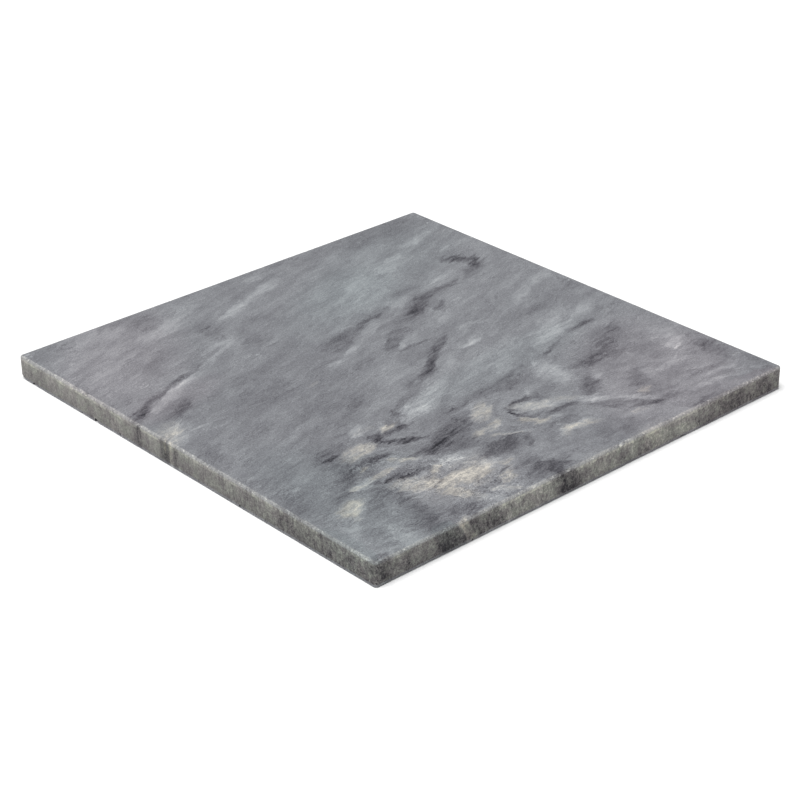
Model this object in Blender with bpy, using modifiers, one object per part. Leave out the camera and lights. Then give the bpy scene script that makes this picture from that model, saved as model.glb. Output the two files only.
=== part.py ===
"""Square stone slab for leatherwork: one solid piece with rounded corners and eased rims.

Run it with: blender --background --python part.py
Lengths are metres and +Z is up. The origin is the centre of the underside, with X and Y along the sides.
"""

import math

import bmesh
import bpy

# Driving dimensions of the stone.
WIDTH = 0.3048
DEPTH = 0.3048
THICKNESS = 0.0143
CORNER_RADIUS = 0.002
RIM_RADIUS = 0.0015

# How finely the rounded stretches are cut into flats.
CORNER_SEGMENTS = 6
RIM_SEGMENTS = 4
SHARP_ANGLE = math.radians(40)

# The stone's overall finish.
STONE_COLOUR = (0.262, 0.267, 0.283, 1.0)
STONE_ROUGHNESS = 0.55
STONE_METALLIC = 0.0


def clear_scene():
    for obj in list(bpy.data.objects):
        bpy.data.objects.remove(obj, do_unlink=True)


def stone_material():
    material = bpy.data.materials.new("honed_stone")
    material.use_nodes = True
    shader = material.node_tree.nodes["Principled BSDF"]
    shader.inputs["Base Color"].default_value = STONE_COLOUR
    shader.inputs["Roughness"].default_value = STONE_ROUGHNESS
    shader.inputs["Metallic"].default_value = STONE_METALLIC
    return material


def is_upright(edge):
    low, high = sorted(vertex.co.z for vertex in edge.verts)
    return high - low > THICKNESS / 2


def block_mesh():
    """A block of the stone's full size, standing on z = 0, with its four upright corners rounded."""
    shape = bmesh.new()
    bmesh.ops.create_cube(shape, size=1.0)
    bmesh.ops.scale(shape, vec=(WIDTH, DEPTH, THICKNESS), verts=shape.verts)
    bmesh.ops.translate(shape, vec=(0.0, 0.0, THICKNESS / 2), verts=shape.verts)
    bmesh.ops.bevel(
        shape,
        geom=[edge for edge in shape.edges if is_upright(edge)],
        affect="EDGES",
        offset=CORNER_RADIUS,
        segments=CORNER_SEGMENTS,
        profile=0.5,
    )
    mesh = bpy.data.meshes.new("slab")
    shape.to_mesh(mesh)
    shape.free()
    return mesh


def ease_rims(slab):
    """Rounds the top and bottom rims, the only edges that are still square."""
    bevel = slab.modifiers.new("eased_rims", "BEVEL")
    bevel.limit_method = "ANGLE"
    bevel.angle_limit = math.radians(60)
    bevel.width = RIM_RADIUS
    bevel.segments = RIM_SEGMENTS
    bevel.profile = 0.5


def build_slab(collection, material):
    """The one piece of stone, sawn to size and honed on its broad faces."""
    mesh = block_mesh()
    mesh.materials.append(material)
    mesh.shade_smooth()
    mesh.set_sharp_from_angle(angle=SHARP_ANGLE)
    slab = bpy.data.objects.new("slab", mesh)
    collection.objects.link(slab)
    ease_rims(slab)
    return slab


def main():
    clear_scene()
    collection = bpy.data.collections.new("granite_slab")
    bpy.context.scene.collection.children.link(collection)
    build_slab(collection, stone_material())


main()
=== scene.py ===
# %% [markdown]
# # A stone slab for leatherwork
# This lesson builds one flat square of folded grey marble, the kind that is laid on a bench and
# hammered on when leather is tooled. There is only one piece, so everything depends on two things:
# the shape of its edges, and a pattern that runs through the stone instead of lying on it.
# The plain model of the slab is loaded first. It gives every size, and nothing here changes it.

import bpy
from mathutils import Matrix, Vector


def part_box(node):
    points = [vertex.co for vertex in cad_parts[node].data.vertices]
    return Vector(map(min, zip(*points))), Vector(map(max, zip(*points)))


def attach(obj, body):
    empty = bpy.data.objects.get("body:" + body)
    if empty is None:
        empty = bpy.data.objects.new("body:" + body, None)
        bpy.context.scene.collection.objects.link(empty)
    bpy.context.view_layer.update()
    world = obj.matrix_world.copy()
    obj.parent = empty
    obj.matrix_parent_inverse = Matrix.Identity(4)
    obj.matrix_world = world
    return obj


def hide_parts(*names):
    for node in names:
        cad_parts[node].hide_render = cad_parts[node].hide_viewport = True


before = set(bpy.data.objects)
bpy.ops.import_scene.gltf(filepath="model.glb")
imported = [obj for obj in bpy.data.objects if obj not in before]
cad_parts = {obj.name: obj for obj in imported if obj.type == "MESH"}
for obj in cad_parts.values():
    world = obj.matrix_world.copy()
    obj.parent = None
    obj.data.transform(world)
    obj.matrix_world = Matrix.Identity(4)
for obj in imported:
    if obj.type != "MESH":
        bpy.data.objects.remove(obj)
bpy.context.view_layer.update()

import math

import bpy
from mathutils import Matrix, Vector

# %% [markdown]
# The slab's own lowest and highest corners give the three overall sizes. The stone is symmetric
# about the origin in plan and stands on z = 0, so half sizes are all that the later rules need.
# Its upright corners and its rims were eased by hand, to about the two radii given here.

# %% Sizes of the stone
MM = 0.001
low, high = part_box("slab")
WIDTH = high.x - low.x
DEPTH = high.y - low.y
THICKNESS = high.z - low.z
CORNER_RADIUS = 2.0 * MM
RIM_RADIUS = 1.5 * MM
print(f"stone: {WIDTH / MM:.1f} x {DEPTH / MM:.1f} x {THICKNESS / MM:.1f} mm")

# %% [markdown]
# Both the shape and the pattern are rules made of nodes. Wiring Math nodes by hand hides the
# formula, so one small class wraps an output socket and answers to + - * and /. Writing
# `1 - mask` then adds the Math node that works it out. Every other node comes from one method,
# which sets the node's settings first and then its sockets.

# %% Sums on sockets
class Value:
    """An output socket of a node tree that can be used in a sum."""

    def __init__(self, tree, socket=None):
        self.tree = tree
        self.socket = socket

    def node(self, kind, settings=None, sockets=None, give=0):
        """Adds a node, sets it up, fills its sockets with numbers or links, and gives one output."""
        made = self.tree.nodes.new(kind)
        for name, setting in (settings or {}).items():
            if name == "stops":
                fill_ramp(made.color_ramp, setting)
            else:
                setattr(made, name, setting)
        for name, value in (sockets or {}).items():
            if isinstance(value, Value):
                self.tree.links.new(value.socket, made.inputs[name])
            else:
                made.inputs[name].default_value = value
        return Value(self.tree, made.outputs[give] if made.outputs else None)

    def math(self, operation, *numbers):
        return self.node("ShaderNodeMath", {"operation": operation}, dict(enumerate(numbers)))

    def vector(self, operation, *vectors, give=0):
        return self.node("ShaderNodeVectorMath", {"operation": operation}, dict(enumerate(vectors)), give)

    def scale(self, vector, factor):
        return self.node("ShaderNodeVectorMath", {"operation": "SCALE"}, {0: vector, "Scale": factor})

    def __add__(self, other):
        return self.math("ADD", self, other)

    def __radd__(self, other):
        return self.math("ADD", other, self)

    def __sub__(self, other):
        return self.math("SUBTRACT", self, other)

    def __rsub__(self, other):
        return self.math("SUBTRACT", other, self)

    def __mul__(self, other):
        return self.math("MULTIPLY", self, other)

    def __rmul__(self, other):
        return self.math("MULTIPLY", other, self)

    def __truediv__(self, other):
        return self.math("DIVIDE", self, other)

    def __abs__(self):
        return self.math("ABSOLUTE", self)


def fill_ramp(ramp, stops):
    """Gives a colour ramp its stops: pairs of a place from 0 to 1 and a colour."""
    while len(ramp.elements) < len(stops):
        ramp.elements.new(1.0)
    for element, (place, colour) in zip(ramp.elements, stops):
        element.position = place
        element.color = colour


def smaller(first, second):
    return first.math("MINIMUM", first, second)


def larger(first, second):
    return first.math("MAXIMUM", first, second)


def root(value):
    return value.math("SQRT", value)


def ramp_between(value, start, end, low_value=0.0, high_value=1.0, kind="LINEAR"):
    """Runs from low_value to high_value while value goes from start to end, and stops there."""
    settings = {"interpolation_type": kind, "clamp": kind == "LINEAR"}
    sockets = {0: value, 1: start, 2: end, 3: low_value, 4: high_value}
    return value.node("ShaderNodeMapRange", settings, sockets)


def ease_between(value, start, end, low_value=0.0, high_value=1.0):
    """The same run, but it starts and stops gently."""
    return ramp_between(value, start, end, low_value, high_value, kind="SMOOTHSTEP")


def split(vector):
    """The x, y and z of a vector."""
    parts = vector.node("ShaderNodeSeparateXYZ", sockets={0: vector}).socket.node
    return [Value(vector.tree, output) for output in parts.outputs]


def combine(x, y, z):
    return x.node("ShaderNodeCombineXYZ", sockets={0: x, 1: y, 2: z})


def noise(vector, size, detail=2.0, roughness=0.5, give=0):
    """Cloudy noise whose blobs are about `size` across, in the vector's own units."""
    settings = {"noise_dimensions": "3D"}
    sockets = {"Vector": vector, "Scale": 1 / size, "Detail": detail, "Roughness": roughness}
    return vector.node("ShaderNodeTexNoise", settings, sockets, give)


# %% [markdown]
# A Geometry Nodes tree is a recipe with named inputs. This helper makes an empty recipe and its
# inputs. A second one hangs a recipe on an object and sets its inputs by the sockets'
# identifiers, which never change, while names may.

# %% Recipes with named inputs
SOCKET_KINDS = {
    "geometry": "NodeSocketGeometry",
    "number": "NodeSocketFloat",
    "count": "NodeSocketInt",
    "object": "NodeSocketObject",
    "material": "NodeSocketMaterial",
}


def new_recipe(name, inputs):
    """A Geometry Nodes tree and the values of its inputs, which are pairs of a name and a kind."""
    tree = bpy.data.node_groups.new(name, "GeometryNodeTree")
    for label, kind in inputs:
        tree.interface.new_socket(label, in_out="INPUT", socket_type=SOCKET_KINDS[kind])
    tree.interface.new_socket("Geometry", in_out="OUTPUT", socket_type="NodeSocketGeometry")
    source = tree.nodes.new("NodeGroupInput")
    return tree, {label: Value(tree, source.outputs[label]) for label, kind in inputs}


def finish_recipe(shape, material):
    """Ends a recipe: real geometry instead of copies, and the finish on every face."""
    real = shape.node("GeometryNodeRealizeInstances", sockets={0: shape})
    coated = shape.node("GeometryNodeSetMaterial", sockets={"Geometry": real, "Material": material})
    shape.node("NodeGroupOutput", sockets={0: coated})


def hang_recipe(piece, tree, settings):
    """Adds the recipe to a piece as a modifier and sets its inputs."""
    modifier = piece.modifiers.new(tree.name, "NODES")
    modifier.node_group = tree
    for item in tree.interface.items_tree:
        if item.in_out == "INPUT" and item.name in settings:
            modifier[item.identifier] = settings[item.name]


# %% [markdown]
# ## The eased block
# On the bench the slab is sawn square and then its corners and rims are rubbed round. The model
# could be a bevelled cube, but a bevel is the same all the way round. Here a box of fine rows is
# bent by a rule instead. The rows stand close together near the edges and wide apart elsewhere,
# and the rule turns the square corner of each section into a quarter circle. Because it is a
# rule, the easing can wander, as work done by hand does, and the lower rim, which nobody touches,
# is eased less than the upper one.

# %% Recipe: where the rows stand
EDGE_ROWS = 8
PLAN_ROWS = 112
UPRIGHT_ROWS = 24

block_tree, block = new_recipe(
    "eased_block",
    [
        ("Geometry", "geometry"),
        ("Width", "number"),
        ("Depth", "number"),
        ("Thickness", "number"),
        ("Corner Radius", "number"),
        ("Rim Radius", "number"),
        ("Rim Wander", "number"),
        ("Lower Rim Share", "number"),
        ("Side Hollows", "number"),
        ("Material", "material"),
    ],
)


def spread_rows(place, rows, length, zone):
    """Moves evenly spaced rows so that EDGE_ROWS of them stand in the zone at each end."""
    row = (place + 0.5) * rows
    near = ramp_between(row, 0, EDGE_ROWS, 0, zone)
    middle = ramp_between(row, EDGE_ROWS, rows - EDGE_ROWS, 0, length - 2 * zone)
    far = ramp_between(row, rows - EDGE_ROWS, rows, 0, zone)
    return near + middle + far


box = block["Width"].node(
    "GeometryNodeMeshCube",
    sockets={"Vertices X": PLAN_ROWS + 1, "Vertices Y": PLAN_ROWS + 1, "Vertices Z": UPRIGHT_ROWS + 1},
)
place = split(box.node("GeometryNodeInputPosition"))
radius = block["Corner Radius"]
x = spread_rows(place[0], PLAN_ROWS, block["Width"], radius) - block["Width"] / 2
y = spread_rows(place[1], PLAN_ROWS, block["Depth"], radius) - block["Depth"] / 2
z = spread_rows(place[2], UPRIGHT_ROWS, block["Thickness"], radius)
print("rows:", PLAN_ROWS, "x", PLAN_ROWS, "x", UPRIGHT_ROWS)

# %% [markdown]
# The rule has two rounds of the same trick. A point outside the core has an overhang on two
# axes. Shrinking the overhang from its square length to its round length turns a square corner
# into a circle. The first round does it in plan, for the four upright corners. The second does
# it between the side and the broad faces, for the rims. The rim's radius wanders a little, and
# changes from the lower rim's to the upper rim's at the waist of the side. The sides are not
# quite flat either: a slow noise lowers them by a tenth of a millimetre here and there.

# %% Recipe: the rounding rule
TINY = 1e-9
WANDER_SIZE = 26 * MM
HOLLOW_SIZE = 38 * MM
WIDEST_RIM = 0.97
WAIST = (0.4, 0.6)


def beyond(value, half):
    """How far a coordinate goes past a core of that half size, and the part inside it."""
    inside = larger(smaller(value, half), 0 - half)
    return value - inside, inside


over_x, core_x = beyond(x, block["Width"] / 2 - radius)
over_y, core_y = beyond(y, block["Depth"] / 2 - radius)
reach = larger(abs(over_x), abs(over_y))
span = root(over_x * over_x + over_y * over_y)
squeeze = reach / larger(span, TINY)

spot = combine(x, y, z)
wander = (noise(spot, WANDER_SIZE, 3.0) - 0.5) * block["Rim Wander"]
waist_low = block["Thickness"] * WAIST[0]
waist_high = block["Thickness"] * WAIST[1]
share = ramp_between(z, waist_low, waist_high, block["Lower Rim Share"], 1.0)
rim = smaller(block["Rim Radius"] * (1 + wander) * share, radius * WIDEST_RIM)
side_gap = larger(rim - (radius - reach), 0.0)
face_gap = larger(rim - smaller(z, block["Thickness"] - z), 0.0)
corner = root(side_gap * side_gap + face_gap * face_gap)
give_way = 1 - larger(side_gap, face_gap) / larger(corner, TINY)
hollow = ease_between(noise(spot, HOLLOW_SIZE, 2.0), 0.3, 0.75) * block["Side Hollows"] * (reach / radius)
inward = (side_gap * give_way + hollow) / larger(reach, TINY)
halfway = block["Thickness"] / 2 - z
upright = halfway.math("SIGN", halfway)

bent = combine(
    core_x + over_x * squeeze * (1 - inward),
    core_y + over_y * squeeze * (1 - inward),
    z + upright * face_gap * give_way,
)
eased = box.node("GeometryNodeSetPosition", sockets={"Geometry": box, "Position": bent})
finish_recipe(eased, block["Material"])
print("eased block:", len(block_tree.nodes), "nodes")

# %% [markdown]
# ## Chips along the rims
# A rim of stone never stays whole. It loses flakes where the slab was knocked, many small ones
# and a few large ones, most of them along the upper rim, where the tools are used. Each flake
# leaves a shallow scoop with crisp borders, which is what cutting a lump out of the block gives.
# The recipe sends points along both rims, sets a lumpy stone on each, and cuts them all away together. A
# few chips are listed one by one and go through the same recipe. They are points with a size, kept in a
# small mesh that the recipe reads.

# %% Chips that are listed one by one
KNOWN_CHIPS = [
    # x, y, z and size of the lump that is cut away, in millimetres
    (-149.5, -149.5, 14.3, 1.9),
    (-139.0, -152.4, 0.3, 1.9),
    (-78.0, -152.4, 0.3, 2.0),
    (152.4, 20.0, 13.9, 1.9),
    (152.4, 24.0, 13.1, 1.0),
    (152.4, -20.0, 14.3, 1.5),
    (152.4, -26.0, 14.3, 1.1),
    (152.4, -93.0, 14.3, 1.4),
    (149.5, -149.0, 14.3, 0.9),
    (146.5, -151.0, 14.3, 1.0),
    (151.0, -146.5, 14.3, 0.8),
    (152.0, -152.0, 10.6, 1.2),
    (152.0, -152.0, 2.6, 1.3),
    (-151.5, -152.0, 1.0, 2.6),
    (-12.0, -152.4, 14.3, 1.3),
    (152.4, 70.0, 0.0, 1.7),
    (-152.4, 60.0, 14.3, 1.6),
    (60.0, 152.4, 0.0, 1.8),
    (-40.0, 152.4, 14.3, 1.4),
]

chip_marks = bpy.data.meshes.new("chip_marks")
chip_marks.from_pydata([[MM * mark[axis] for axis in range(3)] for mark in KNOWN_CHIPS], [], [])
mark_sizes = chip_marks.attributes.new("chip_size", "FLOAT", "POINT")
mark_sizes.data.foreach_set("value", [MM * mark[3] for mark in KNOWN_CHIPS])
chip_marker = bpy.data.objects.new("chip_marks", chip_marks)
bpy.context.scene.collection.objects.link(chip_marker)
print("chips placed by hand:", len(KNOWN_CHIPS))

# %% [markdown]
# The small chips come from points spaced evenly along each rim. Every point then slides along
# the rim by a random share of the gap and draws a size. The draw is raised to the fourth power,
# so that most chips stay small. The lower rim has half as many, and they are smaller.

# %% Recipe: points along the rims
LOWER_COUNT = 0.5
LOWER_SIZE = 0.55

chip_tree, chips = new_recipe(
    "chipped_rims",
    [
        ("Geometry", "geometry"),
        ("Width", "number"),
        ("Depth", "number"),
        ("Thickness", "number"),
        ("Rim Radius", "number"),
        ("Chips per Rim", "count"),
        ("Smallest", "number"),
        ("Largest", "number"),
        ("Known Chips", "object"),
        ("Seed", "count"),
        ("Material", "material"),
    ],
)


def random_number(recipe, start, end, seed_step):
    """A different number for every point, from the recipe's fixed seed."""
    sockets = {2: start, 3: end, "Seed": recipe["Seed"] + seed_step}
    return recipe["Seed"].node("FunctionNodeRandomValue", {"data_type": "FLOAT"}, sockets, give=1)


def rim_points(height, count, size_share, seed_step):
    """Points that wander along one rim, each with the size of its chip."""
    outline = chips["Width"].node(
        "GeometryNodeCurvePrimitiveQuadrilateral",
        sockets={"Width": chips["Width"], "Height": chips["Depth"]},
    )
    lift = outline.node("ShaderNodeCombineXYZ", sockets={2: height})
    raised = outline.node("GeometryNodeTransform", sockets={"Geometry": outline, "Translation": lift})
    points = raised.node("GeometryNodeCurveToPoints", sockets={"Curve": raised, "Count": count})
    tangent = Value(chips["Width"].tree, points.socket.node.outputs["Tangent"])
    gap = 2 * (chips["Width"] + chips["Depth"]) / count
    slide = random_number(chips, -1.0, 1.0, seed_step) * gap
    along = tangent.scale(tangent, slide)
    moved = points.node("GeometryNodeSetPosition", sockets={"Geometry": points, "Offset": along})
    draw = random_number(chips, 0.0, 1.0, seed_step + 1)
    spread = (chips["Largest"] - chips["Smallest"]) * draw * draw * draw * draw
    size = (chips["Smallest"] + spread) * size_share
    settings = {"data_type": "FLOAT", "domain": "POINT"}
    sockets = {"Geometry": moved, "Name": "chip_size", "Value": size}
    return moved.node("GeometryNodeStoreNamedAttribute", settings, sockets)


upper = rim_points(chips["Thickness"], chips["Chips per Rim"], 1.0, 10)
lower = rim_points(0.0, chips["Chips per Rim"] * LOWER_COUNT, LOWER_SIZE, 20)
marker = chips["Known Chips"]
known = marker.node("GeometryNodeObjectInfo", sockets={"Object": marker}, give=4)
known_points = known.node("GeometryNodeMeshToPoints", sockets={"Mesh": known})
all_points = upper.node("GeometryNodeJoinGeometry", sockets={0: upper})
for more in (lower, known_points):
    chip_tree.links.new(more.socket, all_points.socket.node.inputs[0])
print("chipped rims so far:", len(chip_tree.nodes), "nodes")

# %% [markdown]
# A lump bites only a little way in. The nearest point of the slab's core, which is the block less
# its rim radius, shows which way is straight out. The lump's middle stands that way outside the
# rounded rim, so that about two fifths of its radius is inside the stone.

# %% Recipe: where the lumps stand
BITE = 0.42

rim_radius = chips["Rim Radius"]
half_size = combine(chips["Width"] / 2, chips["Depth"] / 2, chips["Thickness"] / 2)
centre = half_size.node("ShaderNodeCombineXYZ", sockets={2: chips["Thickness"] / 2})
core_high = half_size.vector("SUBTRACT", half_size, combine(rim_radius, rim_radius, rim_radius))
core_low = core_high.vector("MULTIPLY", core_high, (-1, -1, -1))
position = half_size.node("GeometryNodeInputPosition")
from_centre = position.vector("SUBTRACT", position, centre)
core = from_centre.vector("MAXIMUM", from_centre.vector("MINIMUM", from_centre, core_high), core_low)
outward = core.vector("NORMALIZE", core.vector("SUBTRACT", from_centre, core))
size = outward.node("GeometryNodeInputNamedAttribute", {"data_type": "FLOAT"}, {"Name": "chip_size"})
stand_off = outward.scale(outward, rim_radius + size * (1 - BITE))
middle = core.vector("ADD", core.vector("ADD", core, centre), stand_off)
placed = all_points.node("GeometryNodeSetPosition", sockets={"Geometry": all_points, "Position": middle})
print("chipped rims so far:", len(chip_tree.nodes), "nodes")

# %% [markdown]
# Each lump is turned, stretched and roughened by noise, so no two scoops are alike. Its faces are
# marked as broken before the cut, and the cut hands the mark on to the faces of the scoop, where
# the finish reads it.

# %% Recipe: the lumps
LUMP_SHAPE = (1.45, 1.0, 0.8)
LUMP_ROUGHNESS = 0.5
LUMP_GRAIN = 1.1 * MM

ball = placed.node("GeometryNodeMeshIcoSphere", sockets={"Radius": 1.0, "Subdivisions": 3})
turn = placed.node(
    "FunctionNodeRandomValue",
    {"data_type": "FLOAT_VECTOR"},
    {0: (0.0, 0.0, 0.0), 1: (math.tau, math.tau, math.tau), "Seed": chips["Seed"]},
)
stretch = size.scale(LUMP_SHAPE, size)
lumps = placed.node(
    "GeometryNodeInstanceOnPoints",
    sockets={"Points": placed, "Instance": ball, "Rotation": turn, "Scale": stretch},
)
real_lumps = lumps.node("GeometryNodeRealizeInstances", sockets={0: lumps})
swirl = noise(position, LUMP_GRAIN, 2.0, give=1)
jitter = swirl.vector("SUBTRACT", swirl, (0.5, 0.5, 0.5))
push = jitter.scale(jitter, size * LUMP_ROUGHNESS)
rough_lumps = real_lumps.node("GeometryNodeSetPosition", sockets={"Geometry": real_lumps, "Offset": push})
marked = rough_lumps.node(
    "GeometryNodeStoreNamedAttribute",
    {"data_type": "FLOAT", "domain": "FACE"},
    {"Geometry": rough_lumps, "Name": "broken", "Value": 1.0},
)
print("chipped rims so far:", len(chip_tree.nodes), "nodes")

# %% [markdown]
# A very small lump can lie wholly inside the stone, and its cut would leave a sealed bubble. The
# recipe counts the faces of every closed skin and takes the small skins away. Edges that the cut
# leaves sharp stay sharp in the shading, while the rounded rims stay smooth.

# %% Recipe: the cut
CRISP_ANGLE = math.radians(32)
LEAST_SKIN_FACES = 2000

cutting = {"operation": "DIFFERENCE", "solver": "MANIFOLD"}
cut = marked.node("GeometryNodeMeshBoolean", cutting, {0: chips["Geometry"]})
chip_tree.links.new(marked.socket, cut.socket.node.inputs["Mesh 2"])
skin = cut.node("GeometryNodeInputMeshIsland")
skin_faces = cut.node("GeometryNodeAccumulateField", {"domain": "FACE"}, {0: 1.0, 1: skin}, give=2)
bubble = cut.node("FunctionNodeCompare", {"operation": "LESS_THAN"}, {0: skin_faces, 1: LEAST_SKIN_FACES})
sound = cut.node("GeometryNodeDeleteGeometry", {"domain": "FACE"}, {"Geometry": cut, "Selection": bubble})
all_smooth = {"Geometry": sound, "Shade Smooth": True}
smooth = sound.node("GeometryNodeSetShadeSmooth", {"domain": "FACE"}, all_smooth)
angle = cut.node("GeometryNodeInputMeshEdgeAngle")
crisp = angle.node("FunctionNodeCompare", {"operation": "GREATER_THAN"}, {0: angle, 1: CRISP_ANGLE})
crisp_sharp = {"Geometry": smooth, "Selection": crisp, "Shade Smooth": False}
edged = smooth.node("GeometryNodeSetShadeSmooth", {"domain": "EDGE"}, crisp_sharp)
finish_recipe(edged, chips["Material"])
print("chipped rims:", len(chip_tree.nodes), "nodes")

# %% [markdown]
# ## The pattern in the stone
# Marble is limestone that was squeezed until it flowed. Its layers are sheets that run down
# through the slab, so one pattern has to serve the face and the sides alike. The finish is
# therefore made of solid textures on Object coordinates: every point is first carried up its
# layer to the working face, and the pattern is only drawn there, in millimetres. The layers lean,
# so a vein that meets the right-hand side runs down it at a slant.

# %% Finish: carry each point up its layer to the working face
LEAN = (0.0, 0.33)
CHANGE_DOWN = 0.35

stone = bpy.data.materials.new("honed_stone")
stone.use_nodes = True
stone_tree = stone.node_tree
shader_node = stone_tree.nodes["Principled BSDF"]
start = Value(stone_tree)
metres = start.node("ShaderNodeTexCoord", give=3)
mm = metres.scale(metres, 1 / MM)
mm_x, mm_y, mm_z = split(mm)
depth = THICKNESS / MM - mm_z
figure_x = mm_x - depth * LEAN[0]
figure_y = mm_y - depth * LEAN[1]
sheet = combine(figure_x, figure_y, depth * CHANGE_DOWN)
print("layers lean", LEAN, "mm sideways per mm of depth")

# %% [markdown]
# Nothing in flowed stone is straight. Noise shifts the drawing place by a few millimetres in
# large slow bends and by less in small quick ones, so every streak drawn later gets frayed
# borders for free. A second shift along the flow feathers the ends of the streaks. The third
# number of the drawing place is set to 1, which lets a single dot product both turn and shift it.

# %% Finish: bend the drawing place
BENDS = [
    # size of the bends and how far they push, in millimetres
    (34.0, 3.0, 1.0),
    (9.0, 1.8, 2.0),
    (2.6, 1.0, 2.0),
]
CALM_SLOPE = 0.38
FOLDED_SLOPE = -0.25
FOLDED_SIDE = (35, 95)
STRANDS_CHANGE_DOWN = 0.05
FEATHER = 20.0


def flow_noise(place, slope, width, length, detail, roughness=0.6):
    """Noise stretched along lines that move `slope` millimetres left for each millimetre up."""
    size = math.hypot(1.0, slope)
    across = place.vector("DOT_PRODUCT", place, (1 / size / width, slope / size / width, 0), give=1)
    along = place.vector("DOT_PRODUCT", place, (-slope / size / length, 1 / size / length, 0), give=1)
    return noise(combine(across, along, depth * STRANDS_CHANGE_DOWN), 1.0, detail, roughness) - 0.5


place = sheet
for size, push, detail in BENDS:
    swirl = noise(sheet, size, detail, give=1)
    shift = swirl.vector("SUBTRACT", swirl, (0.5, 0.5, 0.5))
    place = place.vector("ADD", place, shift.vector("MULTIPLY", shift, (2 * push, 2 * push, 0)))

folded = ease_between(figure_x, *FOLDED_SIDE)
feather = flow_noise(sheet, CALM_SLOPE, 3.2, 14.0, 2.0) * (1 - folded * 0.8)
feather = feather + flow_noise(sheet, FOLDED_SLOPE, 3.4, 9.0, 2.0) * folded * 0.7
feathered = feather.scale((-CALM_SLOPE / 2, 1.0, 0.0), feather * FEATHER)
bent_x, bent_y, _ = split(place.vector("ADD", place, feathered))
drawing = combine(bent_x, bent_y, 1.0)
print("bends:", len(BENDS), "and feathers up to", FEATHER / 2, "mm")

# %% [markdown]
# A streak is a soft ellipse. Two dot products measure how far a point lies along it and across
# it, both as shares of its half length and half width, and a smooth step on the squared distance
# makes it fade. A crease is a streak with a sharp side and a soft side, and it may bow. All the
# streaks are summed into one number, the tone, in steps of brightness from dark to light.

# %% Finish: streaks and creases
FADE = 1.4


def rulers(start_x, start_y, end_x, end_y, width):
    """The two 3-vectors whose dot products with the drawing place run along and across a streak."""
    length = math.hypot(end_x - start_x, end_y - start_y)
    middle_x, middle_y = (start_x + end_x) / 2, (start_y + end_y) / 2
    along_x, along_y = (end_x - start_x) / length, (end_y - start_y) / length
    half_length = (length + width * FADE) / 2
    half_width = width * FADE / 2
    along_start = -(middle_x * along_x + middle_y * along_y)
    across_start = middle_y * along_x - middle_x * along_y
    along = (along_x / half_length, along_y / half_length, along_start / half_length)
    across = (along_y / half_width, -along_x / half_width, across_start / half_width)
    return along, across


def draw_streaks(drawing, streaks, sign):
    """Sums streaks: from x, y to x, y, width, all in millimetres, and strength."""
    tone = 0.0
    for start_x, start_y, end_x, end_y, width, strength in streaks:
        along, across = rulers(start_x, start_y, end_x, end_y, width)
        u = drawing.vector("DOT_PRODUCT", drawing, along, give=1)
        v = drawing.vector("DOT_PRODUCT", drawing, across, give=1)
        squared = v.math("MULTIPLY_ADD", v, v, u * u)
        tone = ease_between(squared, 0, 1, sign * strength, 0) + tone
    return tone


def draw_creases(drawing, creases, sign):
    """Sums creases: from x, y to x, y, width left and right, bow to the right, and strength."""
    tone = 0.0
    for start_x, start_y, end_x, end_y, left, right, bow, strength in creases:
        along, across = rulers(start_x, start_y, end_x, end_y, 2 * right)
        bow_share = bow / (right * FADE)
        across = (across[0], across[1], across[2] - bow_share)
        u = drawing.vector("DOT_PRODUCT", drawing, along, give=1)
        v = drawing.vector("DOT_PRODUCT", drawing, across, give=1)
        squared_u = u * u
        v = v.math("MULTIPLY_ADD", squared_u, bow_share, v)
        v = larger(v, v * (-right / left))
        squared = v.math("MULTIPLY_ADD", v, v, squared_u)
        tone = ease_between(squared, 0, 1, sign * strength, 0) + tone
    return tone


def sketch(name, draw, marks, sign=1):
    """Draws a list of marks in a node group of its own, and gives its tone on the stone."""
    group = bpy.data.node_groups.new(name, "ShaderNodeTree")
    group.interface.new_socket("Drawing", in_out="INPUT", socket_type="NodeSocketVector")
    group.interface.new_socket("Tone", in_out="OUTPUT", socket_type="NodeSocketFloat")
    tone = draw(Value(group).node("NodeGroupInput"), marks, sign)
    tone.node("NodeGroupOutput", sockets={0: tone})
    print(f"{name}: {len(marks)} marks, {len(group.nodes)} nodes")
    return drawing.node("ShaderNodeGroup", {"node_tree": group}, {0: drawing})
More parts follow.
